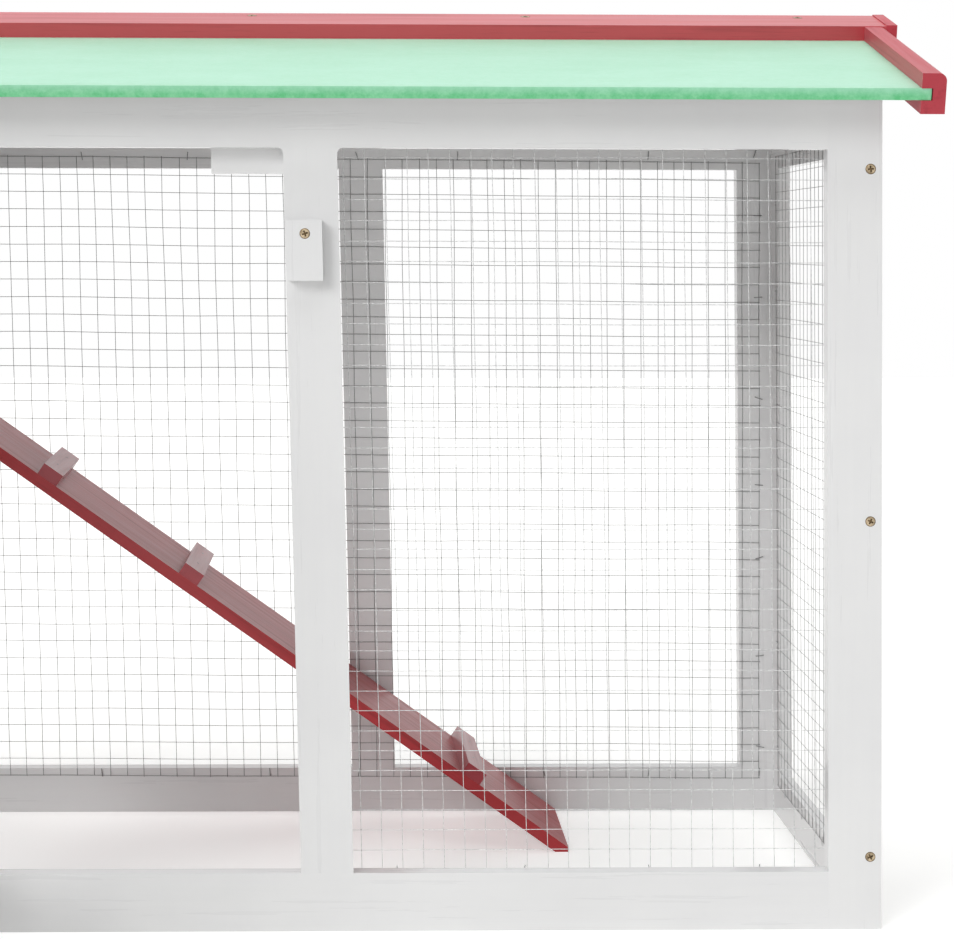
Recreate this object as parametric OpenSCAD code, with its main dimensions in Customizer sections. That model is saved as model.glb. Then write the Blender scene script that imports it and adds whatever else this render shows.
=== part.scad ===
// Rabbit cage: a gable-roofed timber frame with a wire-mesh run on the right,
// a raised sleeping house on the left and a ramp between them.
// X runs along the cage, Y from the front to the rear, Z up from the ground.
// The origin is under the middle of the whole cage, open run door included.

/* [Frame] */
// Length over the corner posts
frame_w = 1415; // [1380:5:1480]
// Depth from the front face to the rear face
frame_d = 470; // [455:5:520]
// Height of the front frame at its front face
frame_h = 773; // [760:1:820]
// Thickness of every frame board
board_t = 18; // [16:0.5:20]
// Height of the front top rail at its face
top_rail_h = 53.5; // [48:0.5:70]
// Height of the rear top rail at its face
rear_top_rail_h = 56.5; // [50:0.5:70]
// Height of the front bottom rail
front_rail_h = 55; // [45:1:65]
// Height of the rear bottom rail
rear_rail_h = 50; // [45:1:60]
// Height of the side bottom rails
side_rail_h = 48; // [40:1:60]
// Height of the gable boards at the front and rear faces
gable_h = 56; // [48:1:66]
// Width of the front corner posts
corner_post_w = 49.5; // [45:0.5:56]
// Width of the posts between two bays
mid_post_w = 48.5; // [44:0.5:56]
// Width of the rear corner posts
rear_corner_w = 56; // [50:1:62]
// Width of the front stiles of the side frames
side_front_w = 50; // [40:1:60]
// Width of the rear stiles of the side frames
side_rear_w = 42; // [36:1:60]
// Thickness of the boards of the right side frame
side_t = 13; // [12:0.5:16]
// Radius of the painted corners beside the middle post
corner_r = 5; // [3:0.5:6]

/* [Bays] */
// Clear width of the meshed bay on the right
bay_w = 441; // [420:0.5:450]
// Clear width of the bay that the run door closes
door_bay_w = 366; // [350:1:380]
// Clear width of the rear opening behind the right bay
rear_bay_w = 388.5; // [370:0.5:400]
// Width of the rear middle post
rear_mid_w = 48; // [42:1:56]

/* [Wire mesh] */
// Thickness of the mesh
mesh_t = 1.2; // [1:0.1:1.6]
// Width of each wire in the plain grille
wire_w = 1.4; // [1.2:0.1:2]
// Pitch of the plain grille in the front bay
front_pitch = 57; // [50:1:76]
// Pitch of the plain grille everywhere else
wide_pitch = 76; // [70:1:90]
// How far the mesh lies on the wood around an opening
mesh_lap = 17; // [12:0.5:19]
// How far the side mesh goes past its opening at the rear stile
mesh_rear_lap = 29; // [16:1:32]
// How far the side mesh reaches down its bottom rail
mesh_low_lap = 14; // [10:1:30]
// How far the rear mesh of the run lies on its top rail
rear_net_lap = 12.7; // [8:0.1:18]
// How far the rear mesh of the run lies on its bottom rail
rear_net_low_lap = 14; // [8:0.5:18]
// How far the rear mesh of the run lies on its corner post
rear_net_side_lap = 25.5; // [18:0.5:32]
// Gap between a mesh and what it ends at
net_gap = 1; // [0.5:0.1:1.5]

/* [Run door] */
// Width of the four boards of the run door
door_board_w = 48; // [40:1:55]
// Gap between a door and the frame around it
door_gap = 2.5; // [2:0.1:4]
// Angle at which the run door stands open
run_door_open = 90; // [70:5:95]
// Width of the block that the door closes against
stop_w = 65.5; // [50:0.5:80]
// Height of the stop block
stop_h = 50; // [40:1:60]
// How far the stop block reaches below the top rail
stop_drop = 22.5; // [15:0.5:28]
// Depth of the stop block
stop_d = 18; // [12:1:24]
// Gap between the closed run door and the stop block
stop_gap = 0.3; // [0.2:0.05:0.6]

/* [Hinges and buttons] */
// Distance of a hinge axis from the faces that the hinge joins
hinge_out = 4; // [3.9:0.1:4.6]
// Radius of a hinge barrel
barrel_r = 3.5; // [3.2:0.1:3.6]
// Radius of a hinge pin
pin_r = 1.5; // [1.2:0.1:1.8]
// Running clearance of a pin in its bore
pin_clear = 0.05; // [0.03:0.01:0.09]
// Thickness of a hinge leaf
leaf_t = 1.5; // [1.2:0.1:1.7]
// Width of a hinge leaf, from the axis to its edge
leaf_w = 18; // [14:1:22]
// Height of a door hinge
hinge_h = 50; // [40:1:60]
// Length of the hinge of the ramp
ramp_hinge_w = 80; // [60:1:110]
// Width of a turn button
button_w = 31; // [30:1:36]
// Height of a turn button
button_h = 54; // [48:1:60]
// Thickness of a turn button
button_t = 15; // [12:1:17]
// Distance of its screw from the top of a turn button
button_top = 12; // [10:0.5:14]
// Distance of the screw of the run door's turn button below the top rail
run_button_drop = 76.5; // [60:0.5:118]
// Distance of the screw of the house door's turn button below the top rail
house_button_drop = 119.5; // [110:0.5:135]
// Distance of the lower hinge from the bottom of the run door
run_hinge_low = 55; // [40:1:90]
// Distance of the upper hinge from the top of the run door
run_hinge_high = 45; // [35:1:60]
// Distance of the hinges from the ends of the house door
house_hinge_in = 20; // [12:1:26]
// Gap between a turn button and its post
button_gap = 0.3; // [0.2:0.05:0.6]
// Distance of a turn button's screw from the side of its post nearer to the door
button_in = 18.2; // [14:0.1:20]

/* [Screws] */
// Radius of a countersunk screw head
head_r = 4.7; // [4:0.1:5.5]
// Height of a screw head
head_h = 2.6; // [2:0.1:3.2]
// Radius of a screw shank
shank_r = 2; // [1.6:0.1:2.4]
// Clearance of a screw in the wood
wood_clear = 0.1; // [0.05:0.01:0.2]
// Length of the screws that hold the posts
post_screw_l = 35; // [25:1:45]
// Height of the lowest post screw
post_screw_low = 69; // [40:1:90]
// Distance of the highest post screw below the openings' top
post_screw_drop = 17.5; // [10:0.5:40]
// Distance of the middle post screws below the middle of the others
post_screw_mid_drop = 3; // [0:1:20]
// Length of the ridge screws
ridge_screw_l = 24; // [16:0.5:24]
// Distance of the ridge screws from the apex
ridge_screw_down = 8; // [6:0.5:14]
// How deep a turn button's screw goes into its post
button_screw_in = 12; // [8:1:14]
// Distance of the post screws from the ends of the frame
post_screw_in = 10.5; // [9:0.5:13]
// Distance of the outer ridge screws from the ends of the frame
ridge_screw_in = 33.5; // [25:0.5:50]
// Number of screws along the ridge
ridge_screws = 6; // [4:1:8]

/* [House] */
// Height of the house's front opening, from its floor to the top rail
house_h = 251.5; // [240:0.5:262]
// Height of the rail under the litter tray
house_rail_h = 50; // [40:1:60]
// Height of the front board of the litter tray
tray_front_h = 50; // [40:1:56]
// Height of the rim of the litter tray
tray_rim_h = 30; // [20:1:38]
// Thickness of the walls of the litter tray
tray_t = 2; // [1.5:0.1:3]
// Gap under the litter tray
tray_gap = 0.3; // [0.2:0.05:0.5]
// Gap under the front board of the litter tray
tray_front_gap = 0.8; // [0.5:0.1:1.5]
// Gap between the litter tray and the rear wall
tray_rear_gap = 7; // [3:1:15]
// Gap between the house floor and the boards around it at the mesh
floor_gap = 1.5; // [1.3:0.1:2.5]
// Radius of the pull knobs
knob_r = 11; // [8:0.5:14]
// How far the pull knobs stand out
knob_out = 16; // [10:1:22]
// Distance of the house door's knob from the door's free edge
knob_in = 22; // [16:1:30]
// Height of the house door's knob above the door's lower edge
knob_up = 33; // [20:1:60]
// Distance of the inner wall from the run side of the jamb post
wall_set = 30; // [25:1:32]
// Width of the doorway to the ramp
doorway_w = 185; // [178:1:200]
// Height of the doorway to the ramp
doorway_h = 222; // [200:1:240]
// Pitch of the grooves in the boarded walls
groove_pitch = 56; // [45:1:70]
// Width of a groove
groove_w = 3; // [2:0.5:4]
// Depth of a groove
groove_d = 2; // [1:0.5:3]

/* [Ramp] */
// Width of the ramp
ramp_w = 168; // [140:1:170]
// Thickness of the ramp board
ramp_t = 12; // [9:0.5:14]
// Distance of the ramp's foot from the right end of the frame
ramp_foot = 266; // [240:1:300]
// Height of the blunt nose at the foot
ramp_nose = 4.5; // [3:0.5:6]
// Gap between the ramp and the rear mesh
ramp_gap = 7; // [6:0.5:14]
// How far the ramp's upper end reaches past its hinge axis
ramp_end_past = 1; // [0.5:0.1:1.2]
// Length of a cleat along the ramp
cleat_l = 23; // [16:1:26]
// How much shorter than the ramp's width a cleat is
cleat_short = 0.5; // [0.5:0.5:4]
// Height of a cleat
cleat_h = 13; // [8:0.5:15]
// Distance of the middle of the lowest cleat from the nose, along the ramp
cleat_first = 128.5; // [100:0.5:140]
// Pitch of the cleats
cleat_pitch = 177.5; // [150:0.5:180]
// Number of cleats
cleats = 4; // [3:1:4]
// Angle by which each cleat is out of square, from the lowest up
cleat_skew = [1.8, -1, 0, 1.4]; // [-3:0.1:3]

/* [Roof] */
// Slope of the roof in degrees
slope = 15.1; // [12:0.1:18]
// How far the roof reaches in front of the frame
eave_out = 47; // [38:1:60]
// How far the gable trims reach beyond the frame
gable_out = 44.5; // [38:0.5:56]
// Thickness of the roof boards
roof_board_t = 8.5; // [8:0.5:12]
// Thickness of the felt
felt_t = 2; // [1.5:0.1:3]
// Gap between the frame's sloping tops and the roof boards
roof_seat = 0.02; // [0.01:0.01:0.05]
// Width of a gable trim
trim_w = 21.5; // [18:0.5:25]
// Depth of the groove in a gable trim
groove_in = 10; // [7:0.5:12]
// Clearance of the roof in the grooves of the trims
groove_fit = 0.2; // [0.1:0.05:0.5]
// Gap between the roof's end and the bottom of the groove
groove_end = 1; // [0.5:0.1:2]
// Height of a gable trim above its groove
jaw_top = 13.5; // [10:0.5:15]
// Height of a gable trim below its groove
jaw_low = 12; // [8:0.5:15]
// Radius of the outer top edge of a gable trim
trim_r = 7; // [4:0.5:8]
// How far a gable trim goes past the edge of the felt
trim_past = 1.5; // [0.5:0.5:4]
// Width of a ridge board down the slope
ridge_w = 56; // [44:1:60]
// Thickness of a ridge board
ridge_t = 14; // [10:0.5:16]
// Open seam between the two ridge boards
ridge_seam = 0.2; // [0.1:0.05:0.4]
// Thickness of the end pieces of the ridge
end_t = 10.5; // [8:0.5:14]
// How much an end piece stands above the ridge boards
end_proud = 1; // [0.5:0.5:3]

/* [Hidden] */
$fn = 18;
PAINT = "#e4e4e6";
RED = "#b2404c";
FELT = "#bfeeda";
WIRE = "#a9adb0";
ZINC = "#c9ab72";
STEEL = "#b9bcc0";
PLASTIC = "#8b9298";

// Heights that hang from the top of the frame
opening_top = frame_h - top_rail_h;
rear_opening_top = frame_h - rear_top_rail_h;
gable_bottom = frame_h - gable_h;
floor_top = opening_top - house_h;
run_button_z = opening_top - run_button_drop;
house_button_z = opening_top - house_button_drop;

// Run door in its closed place, seen from its hinge axis: u runs across it, w into the cage
door_w = door_bay_w - 2 * door_gap;
door_u0 = door_gap / 2;
door_u1 = door_u0 + door_w;
door_w0 = hinge_out;
door_w1 = hinge_out + board_t - stop_gap;
door_corner_w = cos(run_door_open) < 0 ? door_w1 : door_w0;
door_reach = hinge_out + door_u1 * sin(run_door_open) - door_corner_w * cos(run_door_open);

// Roof: l runs down the slope from the apex of its underside, h stands square to the slope
roof_t = roof_board_t + felt_t;
roof_l = (frame_d / 2 + eave_out) / cos(slope);
trim_l = roof_l + trim_past;
roof_reach = trim_l * cos(slope) + (roof_t + jaw_top) * sin(slope);
rear_reach = frame_d / 2 + roof_reach;

// Frame faces along Y, with the origin halfway between the open door and the rear eave
front_y = (door_reach - rear_reach) / 2;
rear_y = front_y + frame_d;
mid_y = front_y + frame_d / 2;
front_in = front_y + board_t;
rear_in = rear_y - board_t;
ridge_z = frame_h + frame_d / 2 * tan(slope);

// Frame edges along X
right_x = frame_w / 2;
left_x = -right_x;
right_in = right_x - board_t;
side_out = right_in + side_t;
left_in = left_x + board_t;
bay_x1 = right_x - corner_post_w;
bay_x0 = bay_x1 - bay_w;
mid_x0 = bay_x0 - mid_post_w;
door_x0 = mid_x0 - door_bay_w;
jamb_x0 = door_x0 - mid_post_w;
house_x0 = left_x + corner_post_w;
rear_bay_x1 = right_x - rear_corner_w;
rear_bay_x0 = rear_bay_x1 - rear_bay_w;
rear_mid_x0 = rear_bay_x0 - rear_mid_w;
wall_x1 = door_x0 - wall_set;
wall_x0 = wall_x1 - board_t;

// Doors, tray and hinges
door_z0 = front_rail_h + door_gap;
door_z1 = opening_top - door_gap;
hinge_x = door_x0 + door_gap / 2;
house_hinge_x = house_x0 + door_gap / 2;
hinge_y = front_y - hinge_out;
floor_z0 = floor_top - board_t;
tray_front_z = floor_top + tray_front_gap;
house_door_z0 = tray_front_z + tray_front_h + door_gap;
house_door_w = jamb_x0 - house_x0 - 2 * door_gap;
run_hinge_z = [door_z0 + run_hinge_low, door_z1 - run_hinge_high - hinge_h];
house_hinge_z = [house_door_z0 + house_hinge_in, door_z1 - house_hinge_in - hinge_h];
hinge_play = 0.3;
leaf_clear = 0.7;
run_button_x = mid_x0 + button_in;
house_button_x = jamb_x0 + button_in;

// Ramp: the hinge axis lies above the edge of the house floor, and the ramp's top
// passes under it at the hinge's offset
doorway_y0 = rear_in - doorway_w;
ramp_y1 = rear_in - mesh_t - ramp_gap;
ramp_y0 = ramp_y1 - ramp_w;
axis_x = door_x0 + hinge_out;
axis_z = floor_top + hinge_out;
foot_x = right_x - ramp_foot;
foot_run = foot_x - axis_x;
foot_drop = axis_z - ramp_nose;
ramp_angle = atan2(foot_drop, foot_run) - asin(hinge_out / norm([foot_run, foot_drop]));

roof_x = right_x + gable_out;
trim_x = roof_x - trim_w;
panel_x = trim_x + groove_in - groove_end;
end_x = roof_x + end_t;
eps = 0.01;
// How far a cutter reaches past what it cuts
over = 1;

// Plain helpers
module board(x, y, z) {
    translate([x[0], y[0], z[0]])
        cube([x[1] - x[0], y[1] - y[0], z[1] - z[0]]);
}

module along_x(x) {
    translate([x[0], 0, 0])
        rotate([90, 0, 90])
            linear_extrude(x[1] - x[0])
                children();
}

function under_roof(y) = ridge_z - roof_seat - abs(y - mid_y) * tan(slope);
function roof_top(y) = abs(y[0] - mid_y) + abs(y[1] - mid_y) > y[1] - y[0] + eps
    ? [[y[1], under_roof(y[1])], [y[0], under_roof(y[0])]]
    : [[y[1], under_roof(y[1])], [mid_y, under_roof(mid_y)], [y[0], under_roof(y[0])]];

// A board whose top follows the underside of the roof
module roofed(x, y, z0) {
    along_x(x)
        polygon(concat([[y[0], z0], [y[1], z0]], roof_top(y)));
}

// A flat grille in the plane of its two directions, from the lower left corner
module grille(w, h, pitch) {
    nx = round(w / pitch);
    ny = round(h / pitch);
    hole_w = (w - (nx + 1) * wire_w) / nx;
    hole_h = (h - (ny + 1) * wire_w) / ny;
    linear_extrude(mesh_t)
        difference() {
            square([w, h]);
            for (i = [0:nx - 1], j = [0:ny - 1])
                translate([wire_w + i * (hole_w + wire_w), wire_w + j * (hole_h + wire_w)])
                    square([hole_w, hole_h]);
        }
}

// Grille across the cage, with y the plane of its rear face
module grille_xz(x, y, z, pitch) {
    translate([x[0], y, z[0]])
        rotate([90, 0, 0])
            grille(x[1] - x[0], z[1] - z[0], pitch);
}

// Grille along the depth, with x the plane of its left face
module grille_yz(x, y, z, pitch) {
    translate([x, y[0], z[0]])
        rotate([90, 0, 90])
            grille(y[1] - y[0], z[1] - z[0], pitch);
}

// Countersunk screw, its head's top at z = 0 and its shank downwards
module screw(length, grow = 0) {
    translate([0, 0, -length - grow])
        cylinder(h = length + grow, r = shank_r + grow);
    translate([0, 0, -head_h])
        cylinder(h = head_h, r1 = shank_r + grow, r2 = head_r + grow);
}

module post_screws(grow = 0) {
    high = opening_top - post_screw_drop;
    middle = (post_screw_low + high) / 2 - post_screw_mid_drop;
    for (side = [-1, 1], z = [post_screw_low, middle, high]) {
        translate([side * (right_x - post_screw_in), front_y, z])
            rotate([90, 0, 0])
                screw(post_screw_l, grow);
        translate([side * (right_x - post_screw_in), rear_y, z])
            rotate([-90, 0, 0])
                screw(post_screw_l, grow);
    }
}

module ridge_row(grow = 0) {
    pitch = (frame_w - 2 * ridge_screw_in) / (ridge_screws - 1);
    for (i = [0:ridge_screws - 1])
        translate([right_x - ridge_screw_in - i * pitch, mid_y, ridge_z])
            rotate([slope, 0, 0])
                translate([0, -ridge_screw_down, roof_t + ridge_t])
                    screw(ridge_screw_l, grow);
}

module button_screws(grow = 0) {
    for (at = [[run_button_x, run_button_z], [house_button_x, house_button_z]])
        translate([at[0], front_y - button_gap - button_t, at[1]])
            rotate([90, 0, 0])
                screw(button_t + button_gap + button_screw_in, grow);
}

// Half of a butt hinge in the frame of its axis: z up the axis, the leaf on the -x side,
// its outer face at y = hinge_out. The fixed half holds the pin.
module hinge_fixed(h) {
    third = h / 3;
    translate([-leaf_w, hinge_out - leaf_t, 0])
        cube([leaf_w - barrel_r - leaf_clear, leaf_t, h]);
    for (z = [0, h - third]) {
        translate([-barrel_r - leaf_clear, hinge_out - leaf_t, z])
            cube([barrel_r + leaf_clear, leaf_t, third]);
        translate([0, 0, z])
            cylinder(h = third, r = barrel_r);
    }
    cylinder(h = h, r = pin_r);
}

module hinge_moving(h) {
    third = h / 3;
    translate([barrel_r + leaf_clear, hinge_out - leaf_t, 0])
        cube([leaf_w - barrel_r - leaf_clear, leaf_t, h]);
    translate([0, 0, third + hinge_play])
        difference() {
            union() {
                cylinder(h = third - 2 * hinge_play, r = barrel_r);
                translate([0, hinge_out - leaf_t, 0])
                    cube([barrel_r + leaf_clear, leaf_t, third - 2 * hinge_play]);
            }
            translate([0, 0, -over])
                cylinder(h = third + 2 * over, r = pin_r + pin_clear);
        }
}

// Moves what is drawn at the closed run door to where the door stands open
module opened() {
    translate([hinge_x, hinge_y, 0])
        rotate([0, 0, -run_door_open])
            children();
}

// Mirrors what is drawn at the front of the cage to its rear
module to_rear() {
    translate([0, mid_y, 0])
        mirror([0, 1, 0])
            translate([0, -mid_y, 0])
                children();
}

// Front frame
module front_post_right() {
    color(PAINT)
        difference() {
            roofed([bay_x1, right_x], [front_y, front_in], 0);
            post_screws(wood_clear);
        }
}

module front_post_left() {
    color(PAINT)
        difference() {
            roofed([left_x, house_x0], [front_y, front_in], 0);
            post_screws(wood_clear);
        }
}

module front_mid_post() {
    color(PAINT)
        difference() {
            board([mid_x0, bay_x0], [front_y, front_in], [front_rail_h, opening_top]);
            button_screws(wood_clear);
        }
}

module front_jamb_post() {
    color(PAINT)
        difference() {
            board([jamb_x0, door_x0], [front_y, front_in], [front_rail_h, opening_top]);
            button_screws(wood_clear);
        }
}

module front_bottom_rail() {
    color(PAINT)
        board([house_x0, bay_x1], [front_y, front_in], [0, front_rail_h]);
}

// The rail has a small painted corner on each side of the middle post
module front_top_rail() {
    color(PAINT)
        union() {
            roofed([house_x0, bay_x1], [front_y, front_in], opening_top);
            for (corner = [[mid_x0, -1], [bay_x0, 1]])
                translate([corner[0], front_in, opening_top])
                    rotate([90, 0, 0])
                        linear_extrude(board_t)
                            mirror([corner[1] < 0 ? 1 : 0, 0])
                                difference() {
                                    translate([0, -corner_r])
                                        square([corner_r, corner_r + eps]);
                                    translate([corner_r, -corner_r])
                                        circle(r = corner_r);
                                }
        }
}

module front_house_rail() {
    color(PAINT)
        board([house_x0, jamb_x0], [front_y, front_in], [floor_top - house_rail_h, floor_top]);
}

// Rear frame
module rear_post_right() {
    color(PAINT)
        difference() {
            roofed([rear_bay_x1, right_x], [rear_in, rear_y], 0);
            post_screws(wood_clear);
        }
}

module rear_post_left() {
    color(PAINT)
        difference() {
            roofed([left_x, house_x0], [rear_in, rear_y], 0);
            post_screws(wood_clear);
        }
}

module rear_mid_post() {
    color(PAINT)
        board([rear_mid_x0, rear_bay_x0], [rear_in, rear_y], [rear_rail_h, rear_opening_top]);
}

module rear_jamb_post() {
    color(PAINT)
        board([jamb_x0, door_x0], [rear_in, rear_y], [rear_rail_h, rear_opening_top]);
}

module rear_bottom_rail() {
    color(PAINT)
        board([house_x0, rear_bay_x1], [rear_in, rear_y], [0, rear_rail_h]);
}

module rear_top_rail() {
    color(PAINT)
        roofed([house_x0, rear_bay_x1], [rear_in, rear_y], rear_opening_top);
}

// Side frames
module side_stile(x, y, z1) {
    difference() {
        board(x, y, [0, z1]);
        post_screws(wood_clear);
    }
}

module side_rail_right() {
    color(PAINT)
        board([right_in, side_out], [front_in + side_front_w, rear_in - side_rear_w], [0, side_rail_h]);
}

module side_gable_right() {
    color(PAINT)
        roofed([right_in, side_out], [front_in, rear_in], gable_bottom);
}

module side_front_stile_right() {
    color(PAINT)
        side_stile([right_in, side_out], [front_in, front_in + side_front_w], gable_bottom);
}

module side_rear_stile_right() {
    color(PAINT)
        side_stile([right_in, side_out], [rear_in - side_rear_w, rear_in], gable_bottom);
}

module side_rail_left() {
    color(PAINT)
        board([left_x, left_in], [front_in + side_front_w, rear_in - side_front_w], [0, side_rail_h]);
}

module side_front_stile_left() {
    color(PAINT)
        side_stile([left_x, left_in], [front_in, front_in + side_front_w], floor_z0);
}

module side_rear_stile_left() {
    color(PAINT)
        side_stile([left_x, left_in], [rear_in - side_front_w, rear_in], floor_z0);
}

// House
module house_side_wall() {
    count = floor((rear_in - front_in) / groove_pitch);
    first = mid_y - (count - 1) / 2 * groove_pitch;
    color(PAINT)
        difference() {
            roofed([left_x, left_in], [front_in, rear_in], floor_z0);
            post_screws(wood_clear);
            for (i = [0:count - 1])
                translate([left_x - over, first + i * groove_pitch - groove_w / 2, floor_z0 - over])
                    cube([groove_d + over, groove_w, ridge_z]);
        }
}

module house_rear_wall() {
    count = floor((jamb_x0 - house_x0) / groove_pitch);
    first = (house_x0 + jamb_x0) / 2 - (count - 1) / 2 * groove_pitch;
    color(PAINT)
        difference() {
            board([house_x0, jamb_x0], [rear_in, rear_y], [floor_z0, rear_opening_top]);
            for (i = [0:count - 1])
                translate([first + i * groove_pitch - groove_w / 2, rear_y - groove_d, floor_z0 - over])
                    cube([groove_w, groove_d + over, opening_top]);
        }
}

module house_floor() {
    color(PAINT)
        board([left_in, door_x0], [front_in, rear_in - floor_gap], [floor_z0, floor_top]);
}

module partition_wall() {
    color(PAINT)
        roofed([wall_x0, wall_x1], [front_in, doorway_y0], floor_top);
}

module partition_lintel() {
    color(PAINT)
        roofed([wall_x0, wall_x1], [doorway_y0, rear_in], floor_top + doorway_h);
}

// Wire mesh
module front_net() {
    color(WIRE)
        grille_xz([bay_x0 - mesh_lap, bay_x1 + mesh_lap], front_in + mesh_t,
            [front_rail_h - mesh_lap, opening_top + mesh_lap], front_pitch);
}

module side_net() {
    color(WIRE)
        grille_yz(right_in - mesh_t,
            [front_in + mesh_t + net_gap, rear_in - side_rear_w + mesh_rear_lap],
            [side_rail_h - mesh_low_lap, gable_bottom + mesh_lap], wide_pitch);
}

module rear_net() {
    color(WIRE)
        grille_xz([wall_x1 + net_gap, rear_bay_x1 + rear_net_side_lap], rear_in,
            [rear_rail_h - rear_net_low_lap, rear_opening_top + rear_net_lap], wide_pitch);
}

module lower_front_net() {
    color(WIRE)
        grille_xz([house_x0 - mesh_lap, jamb_x0 + mesh_lap], front_in + mesh_t,
            [front_rail_h - mesh_lap, floor_top - house_rail_h + mesh_lap], wide_pitch);
}

module lower_side_net() {
    color(WIRE)
        grille_yz(left_in,
            [front_in + side_front_w - mesh_lap, rear_in - side_front_w + mesh_lap],
            [side_rail_h - mesh_lap, floor_z0 - net_gap], wide_pitch);
}

module lower_rear_net() {
    color(WIRE)
        grille_xz([house_x0 - mesh_lap, wall_x1 - net_gap], rear_in,
            [rear_rail_h - mesh_lap, floor_z0 - net_gap], wide_pitch);
}

// Run door, standing open
module run_door_hinge_stile() {
    color(PAINT)
        opened()
            board([door_u0, door_u0 + door_board_w], [door_w0, door_w1], [door_z0, door_z1]);
}

module run_door_latch_stile() {
    color(PAINT)
        opened()
            board([door_u1 - door_board_w, door_u1], [door_w0, door_w1], [door_z0, door_z1]);
}

module run_door_top_rail() {
    color(PAINT)
        opened()
            board([door_u0 + door_board_w, door_u1 - door_board_w], [door_w0, door_w1],
                [door_z1 - door_board_w, door_z1]);
}

module run_door_bottom_rail() {
    color(PAINT)
        opened()
            board([door_u0 + door_board_w, door_u1 - door_board_w], [door_w0, door_w1],
                [door_z0, door_z0 + door_board_w]);
}

module run_door_net() {
    inset = door_board_w - mesh_lap;
    color(WIRE)
        opened()
            grille_xz([door_u0 + inset, door_u1 - inset], door_w1 + mesh_t,
                [door_z0 + inset, door_z1 - inset], wide_pitch);
}

module run_door_hinge_leaves() {
    color(STEEL)
        for (z = run_hinge_z)
            opened()
                translate([0, 0, z])
                    hinge_moving(hinge_h);
}

module frame_hinge_leaves() {
    color(STEEL) {
        for (z = run_hinge_z)
            translate([hinge_x, hinge_y, z])
                hinge_fixed(hinge_h);
        for (z = house_hinge_z)
            translate([house_hinge_x, hinge_y, z])
                hinge_fixed(hinge_h);
    }
}

// House door, closed
module house_door() {
    x0 = house_x0 + door_gap;
    count = floor(house_door_w / groove_pitch);
    first = x0 + house_door_w / 2 - (count - 1) / 2 * groove_pitch;
    color(PAINT)
        difference() {
            union() {
                board([x0, x0 + house_door_w], [front_y, front_in], [house_door_z0, door_z1]);
                translate([x0 + house_door_w - knob_in, front_y + eps, house_door_z0 + knob_up])
                    rotate([90, 0, 0])
                        cylinder(h = knob_out + eps, r = knob_r);
            }
            for (i = [0:count - 2])
                translate([first + i * groove_pitch - groove_w / 2, front_y - over, house_door_z0 - over])
                    cube([groove_w, groove_d + over, door_z1]);
        }
}

module house_door_hinge_leaves() {
    color(STEEL)
        for (z = house_hinge_z)
            translate([house_hinge_x, hinge_y, z])
                hinge_moving(hinge_h);
}

module door_stop() {
    color(PAINT)
        board([mid_x0 - stop_w, mid_x0], [front_in, front_in + stop_d],
            [opening_top - stop_drop, opening_top - stop_drop + stop_h]);
}

// A block of wood that hangs from its screw and turns on it
module turn_button(x, z) {
    color(PAINT)
        difference() {
            board([x - button_w / 2, x + button_w / 2],
                [front_y - button_gap - button_t, front_y - button_gap],
                [z + button_top - button_h, z + button_top]);
            button_screws(pin_clear);
        }
}

module run_turn_button() {
    turn_button(run_button_x, run_button_z);
}

module house_turn_button() {
    turn_button(house_button_x, house_button_z);
}

module wood_screws() {
    color(ZINC) {
        post_screws();
        ridge_row();
        to_rear()
            ridge_row();
        button_screws();
    }
}

// Litter tray
module litter_tray() {
    x = [house_x0 + door_gap, jamb_x0 - door_gap];
    y = [front_in, rear_in - tray_rear_gap];
    z = [floor_top + tray_gap, floor_top + tray_gap + tray_rim_h];
    color(PLASTIC)
        difference() {
            board(x, y, z);
            board([x[0] + tray_t, x[1] - tray_t], [y[0] + tray_t, y[1] - tray_t],
                [z[0] + tray_t, z[1] + over]);
        }
}

module tray_front() {
    x = [house_x0 + door_gap, jamb_x0 - door_gap];
    color(PAINT)
        union() {
            board(x, [front_y, front_in], [tray_front_z, tray_front_z + tray_front_h]);
            translate([(x[0] + x[1]) / 2, front_y + eps, tray_front_z + tray_front_h / 2])
                rotate([90, 0, 0])
                    cylinder(h = knob_out + eps, r = knob_r);
        }
}

// Ramp
function ramp_top(s) = [
    axis_x + s * cos(ramp_angle) - hinge_out * sin(ramp_angle),
    axis_z - s * sin(ramp_angle) - hinge_out * cos(ramp_angle)
];
function ramp_under(s) = ramp_top(s) - ramp_t * [sin(ramp_angle), cos(ramp_angle)];
ramp_s0 = (hinge_out * sin(ramp_angle) - ramp_end_past) / cos(ramp_angle);
ramp_s1 = (foot_x - axis_x + hinge_out * sin(ramp_angle)) / cos(ramp_angle);
under_s0 = ramp_s0 + ramp_t * tan(ramp_angle);
under_s1 = (ramp_top(0)[1] - ramp_t * cos(ramp_angle)) / sin(ramp_angle);

module ramp_board() {
    color(RED)
        translate([0, ramp_y1, 0])
            rotate([90, 0, 0])
                linear_extrude(ramp_w)
                    polygon([
                        ramp_top(ramp_s0), ramp_top(ramp_s1), [foot_x, 0],
                        ramp_under(under_s1), ramp_under(under_s0)
                    ]);
}

// Draws on the ramp: x down the ramp from the hinge, z square to it from its top
module on_ramp() {
    translate([axis_x, 0, axis_z])
        rotate([0, ramp_angle, 0])
            translate([0, 0, -hinge_out])
                children();
}

module ramp_cleats() {
    color(RED)
        on_ramp()
            for (i = [0:cleats - 1])
                translate([ramp_s1 - cleat_first - i * cleat_pitch, (ramp_y0 + ramp_y1) / 2, 0])
                    rotate([0, 0, cleat_skew[i]])
                        board([-cleat_l, cleat_l] / 2, [cleat_short - ramp_w, ramp_w - cleat_short] / 2,
                            [0, cleat_h]);
}

module ramp_hinge_place() {
    translate([axis_x, (ramp_y0 + ramp_y1 - ramp_hinge_w) / 2, axis_z])
        children();
}

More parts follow.
